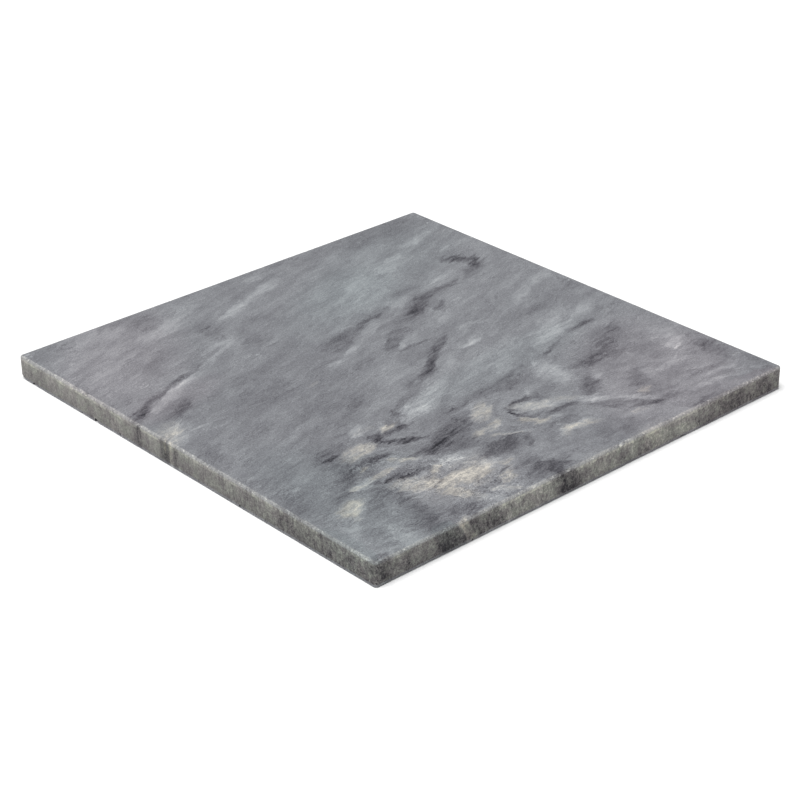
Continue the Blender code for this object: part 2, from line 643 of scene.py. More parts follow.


# %% [markdown]
# The places below were set down quarter by quarter, as an engraver would note them on a sketch of the
# slab: x to the right and y away, from the middle. The left side is calm, with long soft bands. The right
# side was folded, with hooks and small bright patches. The broad masses come first, as in a painting:
# wide soft streaks that make a region lighter or darker.

# %% Figure: broad masses, light above zero and dark below
MASSES_FAR = [
    (-142, 146, -141, 76, 24, -12), (-146, 70, -132, 40, 14, -7), (-105, 102, -96, 78, 12, 13),
    (-100, 76, -74, 28, 44, 8), (-84, 114, -70, 129, 10, -20), (-71, 129, -59, 123, 9, -20),
    (-59, 122, -54, 107, 7, -14), (-66, 108, -60, 80, 12, 12), (-55, 101, -52, 82, 6, -14),
    (-52, 82, -52, 64, 8, -13), (-50, 70, -42, 48, 13, -15), (-43, 56, -36, 34, 11, -18),
    (-40, 74, -33, 62, 6, -12), (-66, 78, -62, 44, 5, -10), (-57, 57, -51, 42, 8, 10),
    (-56, 44, -49, 22, 8, -14), (-50, 20, -43, -2, 8, -16), (-22, 72, -20, 38, 8, 9),
    (-34, 140, -12, 98, 16, 7), (-86, 146, -66, 134, 16, 5), (-130, 62, -112, 36, 18, 4),
    (-18, 30, -9, 20, 8, 10), (-130, 22, -124, -6, 8, 8), (3, 120, 8, 72, 10, -9),
    (22, 122, 33, 76, 22, 9), (32, 98, 39, 76, 12, 8), (38, 124, 40, 104, 4, -11),
    (45, 134, 47, 84, 7, 7), (52, 124, 64, 98, 14, -12), (62, 108, 75, 74, 15, -10),
    (72, 90, 76, 69, 9, -12), (84, 118, 90, 82, 22, -7), (74, 134, 98, 130, 14, 10),
    (100, 144, 122, 140, 12, -16), (106, 124, 108, 92, 10, 8), (100, 88, 114, 76, 12, -12),
    (138, 124, 137, 90, 5, 14), (127, 144, 127, 98, 3, -12), (132, 144, 132, 104, 3, 9),
    (150, 148, 146, 134, 6, -14), (150, 112, 150, 80, 7, -14), (54, 54, 80, 52, 15, 12),
    (76, 62, 80, 54, 6, 12), (87, 65, 100, 50, 10, -14), (89, 72, 93, 62, 4, 12),
    (114, 76, 120, 70, 5, 9), (103, 42, 111, 50, 8, 16), (112, 54, 132, 76, 8, 10),
    (136, 74, 128, 54, 5, -20), (127, 53, 110, 40, 4.5, -18), (109, 39, 102, 28, 4, -16),
    (136, 60, 132, 42, 6, 9), (134, 38, 150, 20, 20, -11), (81, 23, 82, 6, 4, -22),
    (83, 5, 93, 4, 4, -24), (87, 12, 97, 28, 9, 18), (77, 34, 79, 25, 4, 14),
    (78, 44, 86, 32, 6, -8), (103, 34, 104, 10, 4, -20), (114, 25, 114, 4, 4.5, -15),
    (109, 26, 107, 6, 4, 12), (122, 28, 121, 5, 6, 17), (62, 44, 63, 4, 13, -12),
    (9, 58, 13, 34, 8, 12), (1, 30, 14, 16, 8, -16), (12, 14, 26, 0, 7, -18),
    (20, 70, 46, 6, 26, 4), (85, 140, 78, 126, 5, 8), (93, 140, 96, 126, 5, 8),
    (90, 100, 98, 90, 18, 9), (14, 24, 24, 14, 12, 9), (-4, 40, 6, 24, 6, -13),
    (6, 24, 20, 4, 6, -15),
]
MASSES_NEAR = [
    (40, -2, 55, -44, 15, 12), (50, -24, 54, -42, 10, 13), (28, -28, 38, -62, 7, 8),
    (20, -45, 24, -57, 7, -10), (44, -43, 52, -47, 5, -12), (49, -51, 64, -51, 6, -14),
    (61, -54, 60, -66, 6, -12), (60, -69, 67, -71, 9, -19), (68, -68, 76, -53, 6, -26),
    (52, -57, 57, -65, 6, 12), (45, -66, 52, -76, 7, 14), (64, -79, 69, -92, 11, 12),
    (77, -78, 79, -90, 5, -20), (80, -27, 92, -50, 22, -15), (88, -44, 89, -60, 9, -14),
    (66, -6, 68, -42, 12, -8), (109, -18, 114, -38, 13, -22), (112, -8, 122, -15, 6, -22),
    (134, -26, 150, -28, 15, -17), (142, -12, 148, -24, 9, -16), (75, -6, 81, -19, 7, 8),
    (94, -10, 96, -28, 7, 12), (103, -20, 108, -5, 4, 17), (102, -50, 108, -66, 10, 22),
    (115, -38, 122, -48, 8, 18), (120, -55, 122, -76, 9, 24), (102, -78, 118, -92, 16, 20),
    (132, -44, 147, -49, 7, 12), (142, -56, 150, -80, 12, 12), (130, -62, 134, -92, 10, 10),
    (118, -78, 120, -85, 2, -24), (148, -78, 148, -89, 5, -20), (89, -74, 90, -95, 7, 14),
    (100, -73, 98, -96, 6, -30), (90, -100, 92, -113, 5, 28), (93, -113, 104, -94, 2.4, 16),
    (104, -123, 116, -130, 9, 14), (116, -132, 128, -146, 6, 10), (54, -100, 66, -114, 10, -10),
    (74, -98, 84, -112, 11, -12), (98, -100, 112, -114, 12, -9), (116, -98, 138, -108, 12, -9),
    (140, -104, 152, -112, 9, -8), (136, -124, 152, -124, 12, 11), (2, -142, 20, -144, 14, -9),
    (64, -144, 96, -146, 14, -9), (150, -143, 150, -150, 6, -20), (-120, -2, -113, -38, 13, 10),
    (-47, -2, -40, -20, 11, -13), (-33, 0, -26, -22, 9, 9), (-21, -15, -18, -34, 6, 9),
    (-12, -8, -9, -25, 7, -10), (-86, -52, -74, -82, 10, 14), (-68, -88, -56, -118, 8, 14),
    (-52, -120, -44, -142, 9, 8), (-95, -96, -80, -118, 8, -9), (-110, -104, -82, -136, 30, 8),
    (-42, -117, -32, -132, 12, -9), (-22, -134, -12, -146, 13, 16), (-28, -10, -28, -108, 46, -6),
    (-126, -46, -118, -98, 12, 7), (-114, -51, -104, -58, 8, -7), (-90, -38, -74, -49, 11, -8),
    (-140, -60, -146, -92, 12, -6), (-104, -34, -84, -12, 20, -3), (22, -62, 30, -110, 8, 8),
    (20, 4, 33, -20, 6, -14), (34, -20, 47, -45, 5, -14), (54, -14, 62, -26, 12, -10),
    (90, -14, 98, -24, 12, -8), (-146, -50, -120, -60, 26, 6), (-142, -90, -124, -140, 32, 9),
    (-104, -130, -88, -136, 20, 5), (-22, -128, -14, -136, 12, -9), (10, -50, 26, -100, 24, -6),
    (14, -130, 26, -136, 14, 6), (50, -126, 64, -140, 14, -9), (-30, -56, -10, -60, 14, 5),
    (66, -98, 96, -106, 36, -6), (112, -84, 150, -106, 36, -6), (56, -76, 54, -98, 8, -8),
    (74, -20, 82, -44, 10, -7), (30, -84, 125, -84, 110, -6),
]
print("broad masses:", len(MASSES_FAR) + len(MASSES_NEAR))

# %% [markdown]
# The dark streaks go over the masses. They are seams of finer, dirtier lime, which flowed with
# the rest, so they lie along the bands and end in points.

# %% Figure: dark streaks
DARK_LEFT = [
    (-44, -108, -30, -138, 9, 16), (-39, -119, -33, -129, 5, 10), (-108, -50, -88, -58, 9, 14),
    (-94, -98, -84, -114, 9, 8), (-138, 26, -132, -3, 6, 12), (-131, -4, -122, -28, 7, 12),
    (-121, -26, -113, -38, 4, 14), (-137, -67, -134, -80, 12, 8), (-48, 5, -31, -17, 11, 14),
    (-80, -36, -69, -54, 11, 9), (-62, -28, -45, -55, 14, 6), (-44, -60, -40, -86, 9, 7),
    (-12, -70, -12, -93, 8, 9), (-10, -8, 0, -18, 5, 12), (-26, -22, -22, -44, 5, 8),
    (-149, 38, -145, 25, 6, 10), (-143, 104, -135, 84, 13, 8), (-129, 148, -123, 124, 6, 9),
    (-99, 123, -93, 110, 7, 9), (-88, 109, -71, 132, 6, 17), (-69, 129, -54, 106, 7, 16),
    (-81, 122, -76, 117, 4, 11), (-66, 125, -60, 121, 5, 12), (-114, 107, -108, 80, 5, 9),
    (-92, 91, -88, 81, 5, 9), (-57, 95, -48, 98, 4, 12), (-50, 97, -56, 73, 3.5, 17),
    (-68, 75, -66, 52, 5, 11), (-66, 50, -50, 27, 6, 9), (-55, 66, -40, 54, 8, 19),
    (-46, 56, -32, 41, 8, 15), (-38, 71, -32, 60, 5, 12), (-52, 37, -49, 16, 4, 17),
    (-50, 20, -38, 2, 5, 16), (-39, 4, -31, -15, 6, 10), (-38, 33, -34, 18, 6, 17),
    (-30, 29, -12, 6, 9, 27), (-22, 15, -10, 3, 7, 14), (-6, 45, -1, 25, 6, 15),
    (-20, 151, 0, 141, 6, 14), (-6, 152, 0, 136, 7, 13), (-18, 86, -3, 79, 12, 6),
    (-16, -150, -14, -166, 8, 22), (-6, -152, -5, -166, 4, 22), (-100, -25, -92, -18, 12, 5),
    (-96, 70, -88, 64, 9, 6), (-76, 92, -72, 84, 8, 6), (-20, -86, -2, -112, 12, 6),
]
DARK_RIGHT_FAR = [
    (11, 152, 13, 138, 6, 14), (3, 126, 8, 94, 9, 9), (28, 134, 33, 132, 5, 14),
    (31, 139, 41, 132, 3, 10), (38, 127, 40, 95, 4, 12), (50, 55, 56, 42, 5, 13),
    (51, 128, 57, 111, 5, 16), (60, 112, 75, 91, 18, 10), (70, 110, 79, 73, 13, 12),
    (77, 79, 74, 65, 8, 14), (91, 63, 101, 50, 11, 19), (104, 149, 108, 137, 8, 13),
    (120, 150, 151, 147, 6, 13), (127, 96, 126, 77, 2.5, 14), (127, 76, 118, 67, 3, 14),
    (80, 30, 88, 26, 3, 16), (62, 29, 68, 23, 6, 15), (54, 38, 57, 32, 5, 10),
    (61, 26, 64, -22, 8, 9), (107, 28, 118, 19, 7, 12), (113, 13, 104, -3, 6, 14),
    (120, 6, 126, -4, 6, 15), (130, 26, 148, 11, 13, 9), (139, 46, 145, 34, 10, 7),
    (143, 108, 146, 103, 5, 11), (149, 97, 151, 78, 5, 14), (100, 91, 112, 75, 9, 9),
    (10, 32, 14, 25, 4, 13), (11, 22, 16, 12, 4, 22), (18, 10, 28, -8, 5, 26),
    (20, 76, 22, 70, 8, 4), (3, 30, 6, 12, 8, 16), (40, 8, 46, -4, 3, 8), (84, 20, 80, 40, 3, 8),
]
DARK_RIGHT_NEAR = [
    (25, -12, 30, -23, 6, 13), (34, -14, 38, -23, 4, 15), (42, -22, 45, -29, 2, 12),
    (49, -42, 52, -43, 5, 20), (42, -44, 48, -46, 4, 13), (50, -55, 59, -49, 4, 18),
    (61, -43, 59, -66, 3.5, 22), (57, -67, 64, -72, 7, 22), (76, -18, 86, -46, 15, 13),
    (85, -35, 88, -48, 12, 12), (95, -30, 98, -49, 6, 19), (88, -46, 90, -64, 9, 20),
    (88, -62, 86, -69, 4, 17), (105, -12, 117, -25, 13, 21), (112, -27, 112, -44, 6, 24),
    (99, -36, 108, -27, 7, 14), (134, -27, 153, -20, 11, 24), (141, -19, 151, -11, 5, 16),
    (142, -30, 148, -41, 8, 21), (131, -29, 133, -38, 4, 17), (129, -39, 131, -49, 1.8, 40),
    (113, -59, 112, -68, 2, 18), (114, -67, 119, -83, 1.2, 38), (103, -68, 100, -92, 5, 26),
    (100, -90, 94, -108, 4, 19), (93, -82, 97, -91, 5, 15), (78, -75, 77, -91, 4, 22),
    (58, -100, 82, -106, 13, 15), (102, -106, 126, -99, 12, 13), (128, -101, 152, -106, 10, 12),
    (119, -91, 109, -102, 6, 11), (80, -119, 100, -125, 11, 13), (78, -130, 90, -150, 16, 12),
    (108, -115, 121, -118, 10, 12), (60, -138, 52, -151, 9, 9), (60, -99, 61, -105, 4, 25),
    (148, -74, 143, -87, 6, 31), (139, -88, 146, -97, 5, 15), (153, -141, 148, -151, 7, 26),
    (19, -47, 24, -57, 7, 13), (29, -59, 34, -67, 8, 13), (34, -71, 40, -79, 6, 11),
    (47, -79, 43, -87, 4, 11), (52, -114, 53, -129, 4, 11), (89, -111, 95, -121, 6, 15),
    (73, -86, 84, -98, 6, 12), (89, -74, 90, -78, 1.6, 30), (0, -30, 8, -55, 8, 5),
    (10, -100, 14, -120, 8, 7),
]
print("dark streaks:", len(DARK_LEFT) + len(DARK_RIGHT_FAR) + len(DARK_RIGHT_NEAR))

# %% [markdown]
# The light streaks are purer lime. Many lie right beside a dark one, as its other half.

# %% Figure: light streaks
LIGHT_LEFT = [
    (-128, 20, -122, -8, 6, 13), (-122, -8, -108, -42, 7, 15), (-148, 25, -136, 29, 4, 9),
    (-126, 149, -113, 115, 8, 13), (-119, 127, -110, 108, 9, 8), (-100, 151, -94, 127, 8, 12),
    (-97, 127, -93, 123, 5, 13), (-67, 111, -63, 84, 5, 11), (-66, 92, -60, 71, 6, 9),
    (-92, 60, -78, 44, 22, 10), (-28, 153, -21, 127, 10, 15), (-22, 128, -9, 104, 8, 10),
    (-8, 106, -2, 84, 6, 7), (-28, 76, -24, 36, 8, 11), (-2, 75, -8, 56, 4, 14),
    (-8, 58, -6, 55, 4, 14), (-60, 51, -47, 42, 11, 9), (-44, 28, -34, 6, 5, 11),
    (-34, 6, -22, -19, 7, 17), (-20, -18, -22, -38, 2, 20), (-15, 19, -10, 12, 3.5, 22),
    (-76, -66, -68, -91, 7, 17), (-68, -88, -57, -118, 4.5, 19), (-57, -112, -46, -141, 8, 9),
    (-118, -68, -120, -96, 12, 9), (-75, -96, -62, -125, 8, 8), (-80, -145, -58, -149, 9, 9),
    (-116, -140, -115, -151, 4, 10), (-104, -61, -104, -71, 3, 12), (-90, -42, -83, -59, 6, 9),
    (-14, -124, -13, -137, 2.4, 28), (-13, -112, -14, -122, 1.6, 15), (-36, -95, -33, -93, 6, 12),
    (-31, -125, -29, -123, 5, 10), (-10, -152, -9, -166, 1.4, 18), (-106, 98, -102, 70, 8, 6),
    (-136, -50, -126, -70, 10, 5), (-9, -58, 0, -62, 8, 6), (-66, -30, -65, -42, 2, 12),
    (-17, 147, -16, 144, 2.6, 20), (-40, 110, -30, 60, 14, 4), (-143, 20, -141, 4, 6, 9),
]
LIGHT_RIGHT = [
    (22, 126, 28, 95, 13, 12), (30, 106, 38, 72, 12, 14), (12, 56, 13, 38, 5, 17),
    (8, 33, 9, 26, 4, 14), (30, 70, 44, 8, 24, 7), (22, 25, 38, -5, 8, 8), (36, 2, 57, -38, 12, 13),
    (40, -28, 52, -37, 3, 15), (55, -46, 52, -49, 4, 10), (55, 58, 84, 49, 13, 13),
    (80, 61, 83, 51, 3, 14), (54, 55, 58, 52, 4, 18), (74, 149, 95, 127, 14, 12),
    (94, 132, 97, 126, 4, 17), (60, 115, 65, 107, 5, 9), (82, 102, 85, 101, 4, 18),
    (105, 126, 110, 99, 8, 12), (95, 91, 97, 78, 5, 13), (122, 126, 122, 100, 5, 11),
    (133, 146, 131, 100, 4, 11), (138, 138, 137, 127, 2.2, 28), (139, 119, 136, 107, 4, 22),
    (130, 100, 128, 80, 3, 9), (88, 68, 98, 63, 5, 15), (105, 41, 129, 73, 6, 11),
    (138, 82, 150, 59, 13, 8), (105, 50, 108, 35, 7, 16), (77, 39, 74, 27, 3, 19),
    (74, 29, 81, 22, 3, 17), (66, 4, 69, -25, 2.5, 18), (66, 18, 67, 4, 2, 12),
    (40, -66, 52, -77, 6, 11), (22, -75, 28, -101, 7, 12), (28, -100, 30, -113, 6, 10),
    (35, -30, 33, -61, 5, 9), (15, -14, 17, -26, 8, 10), (134, -125, 151, -120, 13, 11),
    (110, -137, 131, -145, 11, 9), (46, -139, 50, -149, 2, 25), (74, -134, 76, -141, 2.4, 20),
    (60, -118, 72, -140, 12, 6), (36, 135, 37, 134, 3, 20), (125, -100, 128, -92, 3, 9),
    (98, -50, 116, -44, 12, 12), (100, -56, 96, -72, 9, 12), (136, -60, 151, -50, 9, 12),
    (128, -84, 132, -96, 6, 8), (70, -60, 67, -46, 6, 4), (24, 46, 28, 20, 8, 5),
]
print("light streaks:", len(LIGHT_LEFT) + len(LIGHT_RIGHT))

# %% [markdown]
# Where the stone was folded hardest, lime was dissolved and set again as larger, cream-coloured
# crystals. These patches are kept apart from the other streaks, because they change the hue too.

# %% Figure: cream patches, where the lime crystals grew coarse
CREAM = [
    (84, 8, 97, 24, 11, 18), (91, 26, 100, 42, 7, 15), (72, -3, 82, -15, 12, 26),
    (88, -6, 97, -20, 6, 26), (93, -22, 95, -31, 6, 28), (106, 9, 97, 1, 6, 38),
    (112, -3, 99, -26, 2.4, 24), (118, 78, 121, 71, 6, 27), (135, 61, 132, 49, 3, 22),
    (127, 31, 120, 11, 6, 27), (121, 14, 126, 5, 5, 18), (55, -53, 56, -63, 6, 42),
    (50, -62, 48, -77, 5, 13), (64, -78, 67, -95, 12, 32), (92, -67, 82, -81, 5, 28),
    (90, -79, 92, -108, 3.6, 30), (92, -107, 92, -115, 4, 38), (80, -92, 83, -101, 3, 28),
    (103, -121, 109, -133, 11, 34), (111, -130, 118, -132, 4, 18), (116, -78, 104, -94, 15, 24),
    (123, -52, 119, -74, 12, 32), (135, -44, 138, -51, 8, 27), (128, -77, 140, -72, 10, 22),
    (104, -64, 108, -72, 5, 26), (124, -32, 123, -39, 5, 24), (149, -91, 152, -95, 4, 20),
    (150, -10, 150, 16, 5, 9), (150, 28, 149, 66, 5, 11), (151, -49, 139, -62, 5, 16),
    (-26, -141, -9, -150, 13, 20), (-12, -51, -10, -56, 4, 14), (114, -44, 130, -62, 17, 14),
    (126, -38, 140, -44, 6, 14), (112, -76, 128, -80, 10, 10), (101, 6, 108, 13, 4, 14),
    (112, -46, 124, -88, 30, 9),
]
print("cream patches:", len(CREAM))

# %% [markdown]
# A fold leaves a thin dark line that is sharp on its outer side and fades on its inner one. The
# hooks are such lines with a bow.

# %% Figure: creases with one sharp side
DARK_CREASES = [
    (-81, -62, -70, -90, 1.0, 4, 0, 22), (-71, -89, -66, -90, 1.6, 2, 0, 14),
    (-69, -89, -58, -122, 1.4, 3, 0, 40), (-59, -119, -44, -150, 1.8, 4, 0, 44),
    (-50, -139, -37, -158, 3.5, 4, 0, 26), (-10, 3, -9, 39, 1.2, 1.4, 1.5, 26),
    (39, 122, 42, 92, 1.4, 1.8, 0, 18), (42, 92, 52, 54, 1.4, 2, -3.0, 26),
    (53, 54, 60, 18, 1.6, 2.4, 1.5, 18), (60, 18, 66, -26, 2, 3, 1, 14),
    (135, 88, 135, 66, 2, 2.4, 2.0, 22), (136, 70, 106, 36, 2.5, 2.5, 3.0, 18),
    (88, 31, 82, 4, 1.6, 1.4, 3.0, 24), (82, 6, 99, 13, 1.8, 2.4, 5.0, 34),
    (97, 11, 104, 42, 1.6, 2.2, 2.2, 24), (62, -73, 77, -48, 1.6, 2.6, 1.5, 32),
    (75, 5, 92, -5, 1.2, 2.4, 2.5, 16), (92, -5, 111, 22, 1.4, 2.6, 2, 18),
]
print("creases:", len(DARK_CREASES))

# %% [markdown]
# Three more sketches steer the finish instead of the tone. The first says where the crystals are
# coarse. The second says where the grey leans to steel blue or to plum. The third gives the
# ground sides their darker and paler zones, so its marks all lie along the edges.

# %% Figure: where the crystals are coarse, where the grey has a cast, and the sides' zones
COARSE = [
    (60, -62, 72, -100, 26, 0.45), (95, -50, 88, -118, 34, 0.5), (122, -40, 112, -92, 38, 0.65),
    (146, -30, 142, -100, 26, 0.7), (90, 20, 80, -14, 26, 0.15), (112, 20, 96, -24, 22, 0.2),
    (125, 60, 140, 110, 30, 0.2), (104, -120, 112, -134, 16, 0.4), (40, -20, 60, -55, 16, 0.4),
    (130, -115, 150, -140, 30, 0.3), (-22, -138, -12, -150, 16, 0.4),
]
CASTS = [
    # strength above zero for steel blue, below zero for plum
    (-120, 122, -80, 30, 70, 0.5), (-95, 60, -62, -10, 50, 0.4), (50, -122, 150, -128, 56, 0.8),
    (85, -70, 72, -105, 18, 0.4), (34, 110, 52, -30, 30, 0.4), (78, 122, 140, 62, 76, -0.9),
    (100, 146, 146, 96, 50, -0.5), (-142, -84, -70, -146, 66, -0.9),
    (-52, -96, -42, -146, 26, -0.8), (124, -40, 118, -84, 34, -0.2), (152, -108, 152, -101, 9, 3.0),
    (152, 92, 152, 146, 12, -3.0), (112, -152, 152, -152, 10, 2.2),
]
SIDE_ZONES = [
    (-151, -152, -142, -152, 18, 12), (-58, -152, -120, -152, 30, 6),
    (-38.5, -152, -38.6, -152, 5, -30), (-27, -152, -26.9, -152, 12, 12),
    (-16, -152, -15, -152, 9, -32), (-6, -152, -5.8, -152, 6, -28), (10, -152, 22, -152, 14, 4),
    (50, -152, 70, -152, 26, -6), (90, -152, 152, -152, 30, -20), (152, -146, 152, -112, 20, -22),
    (152, -146, 152, -138, 10, 24), (152, -108, 152, -101, 10, -16), (152, -95, 152, -94, 4, 12),
    (152, -89, 152, -74, 12, -32), (152, -66, 152, -38, 18, 12), (152, -26, 152, -18, 11, -24),
    (152, -6, 152, 14, 14, 6), (152, 24, 152, 25, 5, 18), (152, 34, 152, 60, 16, 2),
    (152, 66, 152, 84, 16, 12), (152, 102, 152, 144, 20, -26),
]
print("steering marks:", len(COARSE), len(CASTS), len(SIDE_ZONES))

# %% [markdown]
# Each list is drawn in a node group of its own, which keeps the finish's own tree short. All the
# streaks and creases are weakened by one share, so that they sit in the stone and not on it.

# %% Figure: add it all up
STROKE = 0.71
tone = (
    sketch("masses_far", draw_streaks, MASSES_FAR)
    + sketch("masses_near", draw_streaks, MASSES_NEAR)
    + sketch("dark_left", draw_streaks, DARK_LEFT, -STROKE)
    + sketch("dark_right_far", draw_streaks, DARK_RIGHT_FAR, -STROKE)
    + sketch("dark_right_near", draw_streaks, DARK_RIGHT_NEAR, -STROKE)
    + sketch("dark_creases", draw_creases, DARK_CREASES, -STROKE)
    + sketch("light_left", draw_streaks, LIGHT_LEFT, STROKE)
    + sketch("light_right", draw_streaks, LIGHT_RIGHT, STROKE)
)
cream = sketch("cream_patches", draw_streaks, CREAM)
coarse = sketch("coarse_crystals", draw_streaks, COARSE)
cast = sketch("casts", draw_streaks, CASTS)
side_zones = sketch("side_zones", draw_streaks, SIDE_ZONES)

# %% [markdown]
# Between the streaks the stone is full of fibres: long thin wisps that lie along the flow. Noise
# that is stretched along one direction gives them. The flow turns between the calm side and the
# folded side, so two sets of fibres are blended by a soft mask. Thinner strands and still finer
# ones lie between them, and a slow cloud keeps the whole from looking even.

# %% Finish: fibres along the flow
calm_fibres = flow_noise(drawing, CALM_SLOPE, 8.0, 34.0, 5.0, 0.62)
folded_fibres = flow_noise(drawing, FOLDED_SLOPE, 6.0, 20.0, 5.0, 0.62)
fibre = calm_fibres + (folded_fibres - calm_fibres) * folded
strands = flow_noise(drawing, 0.2, 2.6, 12.0, 2.0, 0.6)
fine = flow_noise(drawing, 0.15, 1.1, 5.5, 3.0, 0.65)
cloud = noise(sheet, 46.0, 2.0) - 0.5
print("stone finish so far:", len(stone_tree.nodes), "nodes")

# %% [markdown]
# Where a noise passes through its middle value it draws a thin line, as a contour does on a map.
# Such lines give hairlines between the fibres and small folds between the strands. A second, slow noise
# makes them light here, dark there, and lets them vanish in between. The fibres also break up the listed
# streaks, as the hairs of a brush break up a stroke.

# %% Finish: hairlines and small folds
HAIRLINE_WIDTH = 0.02
FOLD_WIDTH = 0.03
BREAK_BY_FIBRE = 1.8
BREAK_BY_STRANDS = 2.8
FIBRE_TONE = 68
FINE_TONE = 50
CLOUD_TONE = 12
HAIRLINE_TONE = 120

hairlines = ease_between(abs(fibre), HAIRLINE_WIDTH, 0.0) * (noise(sheet, 22.0, 2.0) - 0.5)
folds = ease_between(abs(strands), FOLD_WIDTH, 0.0) * (noise(sheet, 30.0, 2.0) - 0.5)
busy = 0.75 + 0.5 * coarse
fold_tone = 84 + 70 * coarse
tone = tone * (1 + fibre * BREAK_BY_FIBRE + strands * BREAK_BY_STRANDS)
tone = tone + busy * (fibre * FIBRE_TONE + fine * FINE_TONE) + cloud * CLOUD_TONE
tone = tone + hairlines * HAIRLINE_TONE + folds * fold_tone
print("stone finish so far:", len(stone_tree.nodes), "nodes")

# %% [markdown]
# The broad faces were honed: rubbed flat and smooth, but not polished. The four sides were only
# ground, so they are duller, darker and grittier. The upper rim between them was bruised by the
# rubbing, which leaves a pale strip down the side and a white nicked line along the edge itself.
# Three distances tell the finish where it is: from the nearest side, from the working face, which
# is the depth, and from the underside, which is the height. All limits here are in millimetres.

# %% Finish: where the faces, sides and rims are
GROUND_FROM = (0.9, 2.0)
STRIP_REACH = 2.5
STRIP_WANDER = 0.7
STRIP_FEATHER = 0.4
STRIP_LIP = (1.2, 0.2)
EDGE_LINE = (1.7, 0.8)
LOWER_RIM = (2.1, 1.35)

from_side = smaller(WIDTH / MM / 2 - abs(mm_x), DEPTH / MM / 2 - abs(mm_y))
rim_wear = noise(mm, 6.0, 3.0, 0.65)
ground = ease_between(smaller(depth, mm_z), *GROUND_FROM)
strip_end = depth - (STRIP_REACH + rim_wear * STRIP_WANDER)
strip_lip = ease_between(from_side - rim_wear, *STRIP_LIP)
upper_rim = ease_between(strip_end, STRIP_FEATHER, -STRIP_FEATHER) * strip_lip
edge_line = ease_between(from_side + depth, *EDGE_LINE)
lower_rim = ease_between(from_side + mm_z, *LOWER_RIM)
broken = start.node("ShaderNodeAttribute", {"attribute_name": "broken"}, give=2)
print("masks: ground, upper_rim, edge_line, lower_rim, broken")

# %% [markdown]
# Up close the stone is sugar: lime crystals under a millimetre across, each a little lighter or
# darker than its neighbour, gathered in clusters. Where it was folded hardest they grew coarse,
# and dark hairline cracks and pale veins run between them. The lines are contours again.

# %% Finish: crystals, cracks and veins
CRACK_WIDTH = 0.012
VEIN_WIDTH = 0.016
CRACK_TONE = 52
VEIN_TONE = 30

crystals = noise(mm, 0.8, 2.0, 0.8) - 0.5
clusters = noise(sheet, 3.0, 3.0, 0.7) - 0.5
crack_line = abs(noise(sheet, 8.0, 3.0, 0.6) - 0.5)
cracks = ease_between(crack_line, CRACK_WIDTH, 0.0) * ease_between(coarse, 0.4, 0.9)
vein_line = abs(noise(sheet, 12.0, 3.0, 0.6) - 0.47)
veins = ease_between(vein_line, VEIN_WIDTH, 0.0) * ease_between(coarse, 0.2, 0.9)
tone = tone + crystals * (98 + 20 * coarse) + clusters * (18 + 46 * coarse)
tone = tone - cracks * CRACK_TONE + veins * VEIN_TONE
print("stone finish so far:", len(stone_tree.nodes), "nodes")

# %% [markdown]
# On the ground sides the crystals show most, as grit, with specks that were crushed white, and the
# grinding left faint upright smears. The right-hand part of the slab is coarser, so every strength there
# grows to the right. Painted shade makes each side a little darker towards the bench.

# %% Finish: the ground sides
COARSER_FROM = (-40, 140)
CRUSHED_TONE = 14
SIDE_TONE = 2

right_part = ease_between(mm_x, *COARSER_FROM)


def growing(calm, more):
    """A strength that grows towards the right-hand side of the slab."""
    return calm + more * right_part


grit = noise(mm, 1.5, 3.0, 0.85) - 0.5
blotches = noise(mm, 6.0, 3.0, 0.6) - 0.5
smears = flow_noise(combine(mm_x + mm_y, mm_z, 0.0), 0.12, 1.1, 16.0, 3.0, 0.7)
crushed = ease_between(noise(mm, 1.6, 1.0), 0.6, 0.7)
side_grit = grit * growing(58, 44) + smears * growing(12, 24) + crushed * right_part * CRUSHED_TONE
side_layers = clusters * growing(8, 14) + blotches * growing(46, 30)
# Painted shade: each side is darker towards the bench and lighter towards the top.
painted_side_shade = ease_between(mm_z, 2.0, 12.0, -7, 6)
tone = tone + ground * (side_zones + side_grit + side_layers + painted_side_shade - SIDE_TONE)
print("stone finish so far:", len(stone_tree.nodes), "nodes")

# %% [markdown]
# The bruised strip, the edge line and the chips are laid over the rest. A chip high on the upper rim is
# fresh and pale, and a chip low down near the lower rim is made much darker.

# %% Finish: rims and chips
STRIP_GRIT = 36
LOWER_RIM_GRIT = 30
LOWER_RIM_TONE = 6
EDGE_CRUSHED = 40
EDGE_GRIT = 60
CHIP_GRIT = 50
CHIP_DARK_TO_PALE = (1.6, 3.0)
LOW_CHIP_TONE = -60
FRESH_TONE = 26

bruise = 16 + ease_between(rim_wear, 0.35, 0.65) * 10 + side_zones * 0.5
tone = tone + upper_rim * (bruise + grit * STRIP_GRIT)
tone = tone + lower_rim * (grit * LOWER_RIM_GRIT - LOWER_RIM_TONE)
tone = tone + edge_line * (crushed * EDGE_CRUSHED + grit * EDGE_GRIT)
# Chips are made much darker low on the side and paler high up, by their height alone.
chip_tone_by_height = ease_between(mm_z, *CHIP_DARK_TO_PALE, LOW_CHIP_TONE, FRESH_TONE)
tone = tone + broken * (grit * CHIP_GRIT + chip_tone_by_height)
print("stone finish so far:", len(stone_tree.nodes), "nodes")

# %% [markdown]
# A tone is turned into a colour by a ramp of greys that are never quite neutral: plum in the
# darks, steel blue in the middle, chalk in the lights. The cream patches lighten the tone first,
# broken up by the clusters and strands. Colours are written as display values from 0 to 255 and
# changed to linear light here, because that is what the shader works with. A honed face scatters
# some white light over its own colour. The display values hold that haze, so it is taken off.

# %% Finish: greys
STONE_GAIN = 0.84
STONE_HAZE = 0.035
TONE_RANGE = 70
CREAM_TONE = 34


def linear(red, green, blue, gain=STONE_GAIN):
    """A display colour from 0 to 255 as linear light."""
    channels = []
    for value in (red, green, blue):
        share = value / 255
        channels.append(gain * (((share + 0.055) / 1.055) ** 2.4 - STONE_HAZE))
    return (*channels, 1.0)


